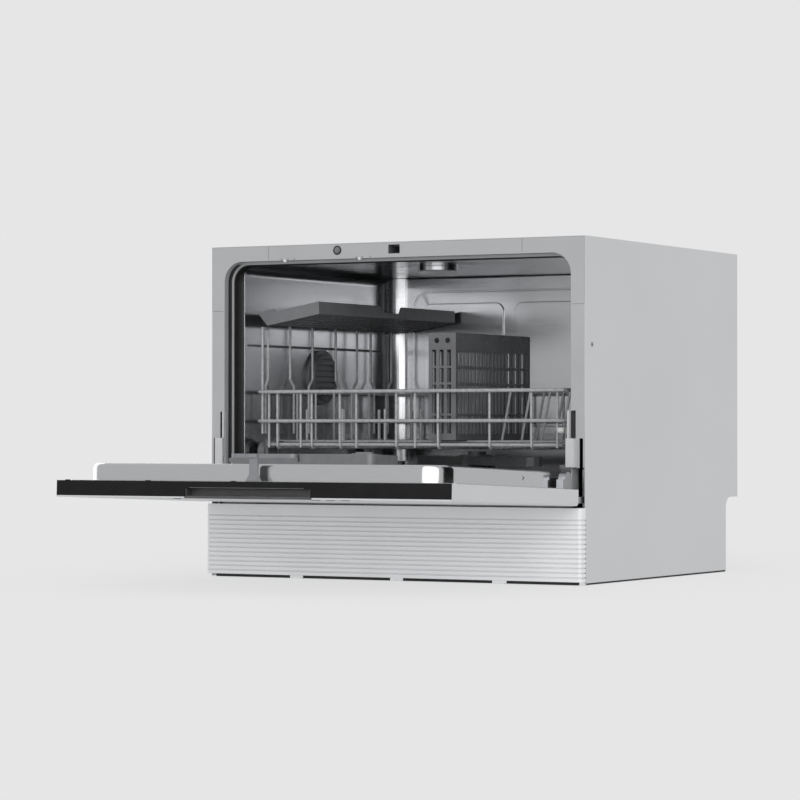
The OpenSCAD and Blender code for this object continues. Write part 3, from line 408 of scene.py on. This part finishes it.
# pieces whose finish differs from that of their slot in the record
OWN_FINISH = {
    "tub": "tub_steel", "filter_plate": "tub_steel", "ceiling_vent": "tub_steel",
    # the plinth's pale_paint is a lighter copy of the cabinet's powder coat: painted light
    "door_liner": "liner_steel", "door_frame": "silver_paint", "plinth_panel": "pale_paint",
    "hinge_covers": "cover", "grip_lip": "grip", "cup_shelf": "shelf_plastic",
    "dispenser_lid": "dispenser", "strike_hook": "dispenser", "rinse_cap": "dispenser",
    "dispenser_body": "grey_plastic", "switch_plunger": "grey_plastic", "roller_brackets": "grey_plastic",
    **{roller: "grey_plastic" for roller in ROLLERS},
}


def surface(kind):
    """The finish of that kind, built when it is first asked for."""
    for made in bpy.data.materials:
        if made.get("kind") == kind:
            return made
    made = FINISHES[kind]()
    made["kind"] = kind
    return made


def coat(piece, kind):
    """Gives the whole of a piece one finish."""
    piece.data.materials.clear()
    piece.data.materials.append(surface(kind))


def kind_of(node):
    """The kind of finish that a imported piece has."""
    return OWN_FINISH.get(node, SLOTS[node])


def put(name, data):
    """A new object in the scene that shows a mesh, a lamp or a camera."""
    made = bpy.data.objects.new(name, data)
    bpy.context.scene.collection.objects.link(made)
    return made


def as_mesh(name, form):
    """Turns a bmesh into a mesh and frees it."""
    mesh = bpy.data.meshes.new(name)
    form.to_mesh(mesh)
    form.free()
    return mesh


class DISHWASHER_OT_finishes(bpy.types.Operator):
    """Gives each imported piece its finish"""

    bl_idname = "dishwasher.finishes"
    bl_label = "Finish the packed pieces"

    def execute(self, context):
        for node in SLOTS:
            coat(frame["nodes"][node], kind_of(node))
        return {"FINISHED"}


# pieces whose bends are shaded smooth, on the body that carries them
SOFT = {
    "cabinet": ["tub", "tub_gasket", "plinth_panel", "breather_cap", "feet"],
    "door": ["door_liner", "door_panel", "strike_hook"],
    "basket": ["basket_rails", "basket_wires", "basket_uprights", "basket_end_caps"],
    **{piece: [piece] for piece in ("spray_arm", "rinse_cap", "salt_cap", *ROLLERS)},
}
MERGE = 0.005 * MM  # corners closer than this are one
FLAT = math.radians(0.4)  # faces that meet at less than this are one flat face
SHARP = math.radians(28)  # an edge that turns more than this stays sharp
TUB_SHARP = math.radians(9)


def soften(node, body):
    """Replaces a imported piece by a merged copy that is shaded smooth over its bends."""
    mesh = frame["nodes"][node].data.copy()
    form = bmesh.new()
    form.from_mesh(mesh)
    bmesh.ops.remove_doubles(form, verts=form.verts, dist=MERGE)
    # each flat face becomes one, so that it outweighs the bends beside it
    bmesh.ops.dissolve_limit(form, angle_limit=FLAT, use_dissolve_boundaries=False,
                             verts=form.verts, edges=form.edges)
    form.to_mesh(mesh)
    form.free()
    mesh.shade_smooth()
    mesh.set_sharp_from_angle(angle=TUB_SHARP if node == "tub" else SHARP)
    made = put(node + "_soft", mesh)
    # flat faces keep their own normals, and the bends between them take up the turn
    flats = made.modifiers.new("flats", "WEIGHTED_NORMAL")
    flats.mode = "FACE_AREA"
    flats.weight = 100
    flats.keep_sharp = True
    coat(made, kind_of(node))
    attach(made, body)
    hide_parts(node)


class DISHWASHER_OT_soft_bends(bpy.types.Operator):
    """Replaces pieces that have round bends by merged copies that are shaded smooth over the bends"""

    bl_idname = "dishwasher.soft_bends"
    bl_label = "Soft bends"

    def execute(self, context):
        for body, nodes in SOFT.items():
            for node in nodes:
                soften(node, body)
        return {"FINISHED"}


# ---------- small trim ----------

def middle_x(node):
    """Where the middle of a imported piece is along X, in millimetres."""
    low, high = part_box(node)
    return (low.x + high.x) / 2 / MM


def block(form, low, high, turn=Matrix()):
    """Adds a box between two opposite corners, and then turns it."""
    size = [abs(b - a) for a, b in zip(low, high)]
    middle = [(a + b) / 2 for a, b in zip(low, high)]
    matrix = turn @ Matrix.Translation(middle) @ Matrix.Diagonal((*size, 1))
    bmesh.ops.create_cube(form, size=1.0, matrix=matrix)


def both_sides(form, low, high):
    """Adds a box on the right and its mirror image on the left."""
    for side in (-1, 1):
        block(form, (side * low[0], *low[1:]), (side * high[0], *high[1:]))


def cross(form, centre, length, width, depth, axis):
    """Adds two bars that cross, as thick as depth along the axis of that number."""
    for along in range(3):
        if along != axis:
            size = [width] * 3
            size[along] = length
            size[axis] = depth
            block(form, [c - a / 2 for c, a in zip(centre, size)], [c + a / 2 for c, a in zip(centre, size)])


def disc(form, centre, radius, depth, axis):
    """Adds a short cylinder that stands along the axis X or Y."""
    lay = Matrix.Rotation(math.pi / 2, 4, "Y" if axis == "X" else "X")
    bmesh.ops.create_cone(form, cap_ends=True, segments=32, radius1=radius, radius2=radius, depth=depth,
                          matrix=Matrix.Translation(centre) @ lay)


def ring(form, centre, outer, inner, depth):
    """Adds a flat ring whose axis is Y, turned from its rectangular section."""
    half = depth / 2
    section = ((inner, -half), (outer, -half), (outer, half), (inner, half))
    start = len(form.verts)
    corners = [form.verts.new((radius, 0, height)) for radius, height in section]
    sides = [form.edges.new(pair) for pair in zip(corners, corners[1:] + corners[:1])]
    bmesh.ops.spin(form, geom=corners + sides, cent=(0, 0, 0), axis=(0, 0, 1), angle=math.tau, steps=36,
                   use_merge=True, use_duplicate=False)
    form.verts.ensure_lookup_table()
    place = Matrix.Translation(centre) @ Matrix.Rotation(math.pi / 2, 4, "X")
    bmesh.ops.transform(form, verts=form.verts[start:], matrix=place)


def trim(name, kind, body, place, draw, soft=0.0):
    """A small piece in one finish that rides on a body, drawn in millimetres and then put in place."""
    form = bmesh.new()
    draw(form)
    if soft:
        bmesh.ops.bevel(form, geom=form.edges[:], offset=soft, offset_type="OFFSET", segments=2, profile=0.5,
                        affect="EDGES", material=-1)
    bmesh.ops.recalc_face_normals(form, faces=form.faces)
    form.transform(place)
    made = put(name, as_mesh(name, form))
    coat(made, kind)
    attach(made, body)


class TrimSettings(bpy.types.PropertyGroup):
    seam: FloatProperty(name="Seam width", default=0.6, min=0.2, max=1.5,
                        description="Width of the joints in the front frame, in millimetres")
    seam_height: FloatProperty(name="Seam height", default=352.5,
                               description="Height of the posts' joints, in millimetres")
    # height of the dark strip along the foot: painted shade of the gap under the side panels
    foot_shade: FloatProperty(name="Edging height", default=2.0, min=0.5, max=4,
                          description="Height of the dark edging along the foot, in millimetres")
    marks: BoolProperty(name="Marks", default=True, description="Plain marks beside the buttons")


class DISHWASHER_OT_frame_trim(bpy.types.Operator):
    """Draws the frame's joints, the clips in its lip with painted shadows beside them, painted shade on the
    opening's sides and a painted shade line along the tub's bead
    """

    bl_idname = "dishwasher.frame_trim"
    bl_label = "Frame trim"

    def execute(self, context):
        s = context.scene.trim
        band_foot, band_head = OPENING_TOP + 1.8, TOP - 1.1

        def seams(form):
            half, proud, deep = s.seam / 2, -0.06, 0.4
            post_edge, corner_x, flange_x = HALF - 1.1, 187, HALF - 0.95
            both_sides(form, (OPENING_HALF + 1.5, proud, s.seam_height - half),
                       (post_edge, deep, s.seam_height + half))
            both_sides(form, (corner_x - half, proud, band_foot), (corner_x + half, deep, band_head))
            both_sides(form, (flange_x - half / 2, proud, s.seam_height),
                       (flange_x + half / 2, deep, band_head))

        def clip_shadows(form):
            half = 0.7
            # dark marks in the lip's face beside its clips: painted shadow
            for x in (-167.4, -157.2, -147.6, -54.2, -44.6, -33.3):
                block(form, (x - half, -0.08, OPENING_TOP + 0.5), (x + half, 0.6, OPENING_TOP + 2.7))

        def clips(form):
            half = 1.5
            for x in (-162.2, -49.4):
                block(form, (x - half, -0.5, OPENING_TOP - 2.1), (x + half, 4, OPENING_TOP + 0.9))

        def boot(form):
            ring(form, centre=(-82.2, -0.35, 429), outer=5.9, inner=4.5, depth=0.9)

        # dark sheets on the opening's return walls and round its upper corners: painted shade
        def side_shades(form):
            near, far = 9.5, 17.6
            inner, outer = 0.55, 0.05  # how far its two faces stand off the opening's edge
            both_sides(form, (OPENING_HALF - inner, near, 150), (OPENING_HALF - outer, far, 391))
            # short flat lengths follow the bend into the top
            lengths, step = 7, math.radians(9)
            for side in (-1, 1):
                bend = Matrix.Translation((side * (OPENING_HALF - OPENING_R), 0, OPENING_TOP - OPENING_R))
                low = (side * (OPENING_R - inner), near, -0.2)
                high = (side * (OPENING_R - outer), far, 4.4)
                for i in range(lengths):
                    block(form, low, high, turn=bend @ Matrix.Rotation(-side * i * step, 4, "Y"))

        def pressed_bead_shade(form):
            # a dark strip on the tub's left wall: painted shade along a shallow pressed bead
            block(form, (-246.2, 42, 306.6), (-245.7, 418, 309.6))

        trim("frame_seams", "seam", "cabinet", CABINET, seams)
        trim("lip_clip_shadows", "seam", "cabinet", CABINET, clip_shadows)
        trim("lip_clips", "pale_plastic", "cabinet", CABINET, clips, soft=0.4)
        trim("plunger_boot", "rubber", "cabinet", CABINET, boot)
        trim("opening_shade", "lining", "cabinet", CABINET, side_shades)
        trim("pressed_bead_shade", "seam", "cabinet", CABINET, pressed_bead_shade)
        return {"FINISHED"}


class DISHWASHER_OT_door_trim(bpy.types.Operator):
    """Lays the gloss band over the door's end, round the grip, with a painted highlight along the grip and painted
    sheen inside it
    """

    bl_idname = "dishwasher.door_trim"
    bl_label = "Door trim"

    def execute(self, context):
        band_outer, band_inner = FASCIA + 1.9, FASCIA + 20.4
        grip_outer, grip_inner = FASCIA + 3.2, FASCIA + 11.8

        def band(form):
            foot, proud = TOP - 0.5, TOP + 0.06
            both_sides(form, (GRIP_HALF, band_outer, foot), (DOOR_HALF, band_inner, proud))
            block(form, (-GRIP_HALF, grip_inner + 0.1, foot), (GRIP_HALF, band_inner, proud))

        # a proud strip of the grip's lighter grey: a painted highlight along the grip's upper edge
        def line(form):
            block(form, (-82, FASCIA + 12.3, TOP), (78, FASCIA + 13.3, TOP + 0.12))

        # lighter grey sheets on the grip's cheeks and floor: painted sheen inside the grip
        def lining(form):
            cheek = GRIP_HALF - 0.7
            floor_foot, floor_head = TOP - 13.7, TOP - 13.1
            both_sides(form, (cheek, grip_outer, TOP - 13.4), (GRIP_HALF, grip_inner, TOP - 0.2))
            block(form, (-cheek, grip_outer, floor_foot), (cheek, grip_inner, floor_head))

        trim("end_band", "black_gloss", "door", DOOR, band)
        trim("grip_highlight", "grip", "door", DOOR, line)
        trim("grip_sheen_lining", "grip", "door", DOOR, lining)
        return {"FINISHED"}


class DISHWASHER_OT_foot_trim(bpy.types.Operator):
    """Draws painted shade in the hinge slots, along the foot of the panels and in the gap under the plinth"""

    bl_idname = "dishwasher.foot_trim"
    bl_label = "Foot trim"

    def execute(self, context):
        s = context.scene.trim

        def hinge_slot_shades(form):
            # dark sheets on the frame's face where the hinge slots lie in shade: painted shade
            both_sides(form, (255.4, -0.05, 184.5), (259.3, 0.3, 218.6))

        def foot_shade(form):
            # dark strips at the foot and up the front edge of the side panels: painted shade of the gaps there
            inside, foot = HALF - 0.1, 0.7
            both_sides(form, (inside, 3, foot), (HALF + 0.2, 446, foot + s.foot_shade))
            plinth_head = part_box("plinth_panel")[1].z / MM
            both_sides(form, (inside, 0.1, 3), (HALF + 0.12, 1.5, plinth_head))

        def under_plinth_shade(form):
            # dark strips in four lengths in the gap under the plinth: painted shade, since the floor's glow takes
            # no shadow there
            stretches = ((-260.5, -147.7), (-129.5, 2.1), (19.7, 149.6), (168, 271.5))
            for low, high in stretches:
                block(form, (low, -11.6, 0.8), (high, -9.8, 4.6))

        trim("hinge_slot_shades", "lining", "cabinet", CABINET, hinge_slot_shades)
        trim("foot_gap_shade", "rubber", "cabinet", CABINET, foot_shade)
        trim("plinth_gap_shade", "rubber", "cabinet", CABINET, under_plinth_shade)
        return {"FINISHED"}


class DISHWASHER_OT_screw_trim(bpy.types.Operator):
    """Draws painted shade in the cross recesses of the panel screws, and the screw on the liner's side with
    painted shade in its socket
    """

    bl_idname = "dishwasher.screw_trim"
    bl_label = "Screw trim"

    def execute(self, context):
        def cross_shades(form):
            # thin dark crosses on the screw heads: painted shade in their recesses
            for x in (-275.52, 275.52):
                cross(form, (x, 20, 302), length=3.4, width=0.6, depth=0.08, axis=0)
            rear = (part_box("panel_screws")[1].y - CABINET.translation.y) / MM - 0.0205
            for x in (-256, 256):
                for z in (126, 270, 414):
                    cross(form, (x, rear, z), length=4, width=0.7, depth=0.039, axis=1)

        # drawn where the liner's side is with the door open
        def liner_screw(form):
            disc(form, (251.6, -126, 136), radius=2.8, depth=0.8, axis="X")

        def socket(form):
            # a thin dark disc in the screw head: painted shade in its socket
            disc(form, (252.02, -126, 136), radius=1.3, depth=0.1, axis="X")

        trim("screw_cross_shades", "rubber", "cabinet", CABINET, cross_shades)
        trim("liner_screw", "steel", "door", CABINET, liner_screw, soft=0.2)
        trim("liner_screw_socket_shade", "rubber", "door", CABINET, socket)
        return {"FINISHED"}


class DISHWASHER_OT_control_trim(bpy.types.Operator):
    """Puts the display glass, the lamp lenses and plain marks on the control fascia"""

    bl_idname = "dishwasher.control_trim"
    bl_label = "Control trim"

    def execute(self, context):
        s = context.scene.trim

        def glass(form):
            half_wide, foot, head = 29.7, 404.3, 417.7
            block(form, (-half_wide, FASCIA + 0.12, foot), (half_wide, FASCIA + 0.6, head))

        def lamps(form):
            for x in LAMP_X:
                disc(form, (x, FASCIA + 0.02, 409), radius=1.1, depth=0.2, axis="Y")

        def marks(form):
            power = (middle_x("power_button"), FASCIA - 0.02, 417.4)
            ring(form, power, outer=1.9, inner=1.5, depth=0.1)
            for x in map(middle_x, ("program_button", "delay_button", "start_button")):
                block(form, (x - 2.2, FASCIA - 0.06, 417.1), (x + 2.2, FASCIA + 0.04, 417.6))
            for x in LAMP_X:
                ring(form, (x, FASCIA - 0.02, 414), outer=1.2, inner=0.9, depth=0.1)

        trim("display_glass", "glass", "door", DOOR, glass)
        trim("lamp_lenses", "pale_plastic", "door", DOOR, lamps)
        if s.marks:
            trim("control_marks", "ink", "door", DOOR, marks)
        return {"FINISHED"}


# ---------- stage ----------

class StudioSettings(bpy.types.PropertyGroup):
    backdrop: StringProperty(name="Backdrop", default="#E6E6E6",
                             description="Colour of the floor and backdrop")
    camera_turn: FloatProperty(name="Camera turn", default=math.radians(28.798), subtype="ANGLE",
                               unit="ROTATION", description="Angle of the view to the right of the front")
    camera_tilt: FloatProperty(name="Camera tilt", default=math.radians(0.5794), subtype="ANGLE",
                               unit="ROTATION", description="Angle that the view looks up")
    camera_roll: FloatProperty(name="Camera roll", default=math.radians(0.0187), subtype="ANGLE",
                               unit="ROTATION", description="Turn of the view about its own axis")
    camera_right: FloatProperty(name="Camera right", default=1.9706, unit="LENGTH",
                                description="Camera's place along X")
    camera_front: FloatProperty(name="Camera front", default=-3.6306, unit="LENGTH",
                                description="Camera's place along Y")
    camera_height: FloatProperty(name="Camera height", default=0.1921, unit="LENGTH",
                                 description="Camera's height over the worktop")
    lens: FloatProperty(name="Lens", default=141.94,
                        description="Focal length on a 36 mm sensor, in millimetres")
    dome: FloatProperty(name="Dome", default=0.72, description="Strength of the even light from all round")
    key: FloatProperty(name="Key", default=1.25, description="Strength of the wide soft light from the front")
    key_turn: FloatProperty(name="Key turn", default=math.radians(30), subtype="ANGLE",
                            unit="ROTATION", description="Angle of the front light to the right of the front")
    key_rise: FloatProperty(name="Key rise", default=math.radians(12), subtype="ANGLE",
                            unit="ROTATION", description="Height angle of the front light")
    key_spread: FloatProperty(name="Key spread", default=math.radians(50), subtype="ANGLE",
                              unit="ROTATION", description="Angle that the front light spans in the sky")
    shadeless: FloatProperty(name="Shadeless", default=0.75,
                             description="Share of the floor's colour that takes no shadow")


def place_camera(s):
    """A long lens at the front right, level with the tub."""
    view = bpy.data.cameras.new("studio_camera")
    view.sensor_width = 36
    view.lens = s.lens
    view.clip_end = 200
    camera = put("studio_camera", view)
    turn = Matrix.Rotation(s.camera_turn, 4, "Z")
    tilt = Matrix.Rotation(math.pi / 2 + s.camera_tilt, 4, "X")
    roll = Matrix.Rotation(s.camera_roll, 4, "Z")
    spot = Matrix.Translation((s.camera_right, s.camera_front, s.camera_height))
    camera.matrix_world = spot @ turn @ tilt @ roll
    bpy.context.scene.camera = camera


def seen_directly(tree):
    """1 for a ray that shows the background: from the camera, or off gloss or through glass."""
    path = add(tree, "ShaderNodeLightPath")
    seen = path.outputs["Is Camera Ray"]
    for ray in ("Is Glossy Ray", "Is Transmission Ray"):
        either = add(tree, "ShaderNodeMath", links={0: seen, 1: path.outputs[ray]}, operation="MAXIMUM")
        seen = either.outputs[0]
    return seen


def light_dome(s):
    """An even dome: it lights at one strength and is seen as the backdrop's colour."""
    world = bpy.data.worlds.new("studio_dome")
    world.use_nodes = True
    tree = world.node_tree
    tree.nodes.clear()
    lit = add(tree, "ShaderNodeBackground", {"Color": (1, 1, 1, 1), "Strength": s.dome})
    seen = add(tree, "ShaderNodeBackground", {"Color": linear(s.backdrop), "Strength": 1.0})
    mixed = add(tree, "ShaderNodeMixShader",
                links={0: seen_directly(tree), 1: lit.outputs[0], 2: seen.outputs[0]})
    add(tree, "ShaderNodeOutputWorld", links={"Surface": mixed.outputs[0]})
    bpy.context.scene.world = world


def floor_sheet(s):
    """A wide floor in the backdrop's colour, which keeps a faint shadow."""
    form = bmesh.new()
    bmesh.ops.create_circle(form, cap_ends=True, segments=64, radius=60)
    floor = put("studio_floor", as_mesh("studio_floor", form))
    paper, tree = material("pale_paper")
    tree.nodes.clear()
    level = s.dome + s.key / math.pi * math.sin(s.key_rise)
    shade = [c / level for c in linear(s.backdrop)[:3]]
    matt = add(tree, "ShaderNodeBsdfDiffuse", {"Color": (*shade, 1.0)})
    glow = add(tree, "ShaderNodeEmission", {"Color": linear(s.backdrop), "Strength": 1.0})
    mixed = add(tree, "ShaderNodeMixShader", {0: s.shadeless}, {1: matt.outputs[0], 2: glow.outputs[0]})
    add(tree, "ShaderNodeOutputMaterial", links={"Surface": mixed.outputs[0]})
    floor.data.materials.append(paper)


# boards that only glossy surfaces show, all CARD_HEIGHT tall and CARD_AWAY from the middle:
# degrees to the right of the front, width in metres and strength
CARDS = {"front_card": (15, 3.4, 2.8), "left_card": (-115, 4.4, 1.9), "dark_card": (103, 3.7, 0.01)}
CARD_AWAY = 3.2
CARD_HEIGHT = 3.0


def card(name, degrees, width, strength):
    """Stands one board on the floor, turned to the middle."""
    form = bmesh.new()
    bmesh.ops.create_grid(form, x_segments=1, y_segments=1, size=0.5)
    form.transform(Matrix.Diagonal((width, CARD_HEIGHT, 1, 1)))
    form.transform(Matrix.Rotation(math.pi / 2, 4, "X"))
    form.transform(Matrix.Translation((0, -CARD_AWAY, CARD_HEIGHT / 2)))
    form.transform(Matrix.Rotation(math.radians(degrees), 4, "Z"))
    board = put(name, as_mesh(name, form))
    board.visible_camera = board.visible_diffuse = board.visible_shadow = False
    made, tree = material(name)
    tree.nodes.clear()
    glow = add(tree, "ShaderNodeEmission", {"Strength": strength})
    add(tree, "ShaderNodeOutputMaterial", links={"Surface": glow.outputs[0]})
    board.data.materials.append(made)


def front_light(s):
    """A wide soft light from far in front, as even over the floor as over the piece."""
    lamp = bpy.data.lights.new("front_light", "SUN")
    lamp.energy = s.key
    lamp.angle = s.key_spread
    put("front_light", lamp).rotation_euler = (math.pi / 2 - s.key_rise, 0, s.key_turn)


class DISHWASHER_OT_studio(bpy.types.Operator):
    """Sets up the camera, the floor, the dome, the front light and the cards"""

    bl_idname = "dishwasher.studio"
    bl_label = "Set up the studio"

    def execute(self, context):
        s = context.scene.studio
        place_camera(s)
        light_dome(s)
        floor_sheet(s)
        front_light(s)
        for name, sizes in CARDS.items():
            card(name, *sizes)
        context.scene.view_settings.view_transform = "Standard"
        return {"FINISHED"}


class DISHWASHER_PT_panel(bpy.types.Panel):
    """Lists the sizes, colours and steps of the dishwasher"""

    bl_label = "Countertop dishwasher"
    bl_idname = "DISHWASHER_PT_panel"
    bl_space_type = "VIEW_3D"
    bl_region_type = "UI"
    bl_category = "Dishwasher"

    def draw(self, context):
        for settings in (context.scene.trim, context.scene.studio):
            for name in settings.__annotations__:
                self.layout.prop(settings, name)
        for step in STEPS:
            self.layout.operator(step.bl_idname)


STEPS = [DISHWASHER_OT_finishes, DISHWASHER_OT_soft_bends, DISHWASHER_OT_frame_trim,
         DISHWASHER_OT_door_trim, DISHWASHER_OT_foot_trim, DISHWASHER_OT_screw_trim,
         DISHWASHER_OT_control_trim, DISHWASHER_OT_studio]
CLASSES = [TrimSettings, StudioSettings, *STEPS, DISHWASHER_PT_panel]


def register():
    for c in CLASSES:
        bpy.utils.register_class(c)
    bpy.types.Scene.trim = PointerProperty(type=TrimSettings)
    bpy.types.Scene.studio = PointerProperty(type=StudioSettings)


def unregister():
    del bpy.types.Scene.studio
    del bpy.types.Scene.trim
    for c in reversed(CLASSES):
        bpy.utils.unregister_class(c)


def main():
    register()
    for step in STEPS:
        getattr(bpy.ops.dishwasher, step.bl_idname.split(".")[1])()


if __name__ == "__main__":
    main()
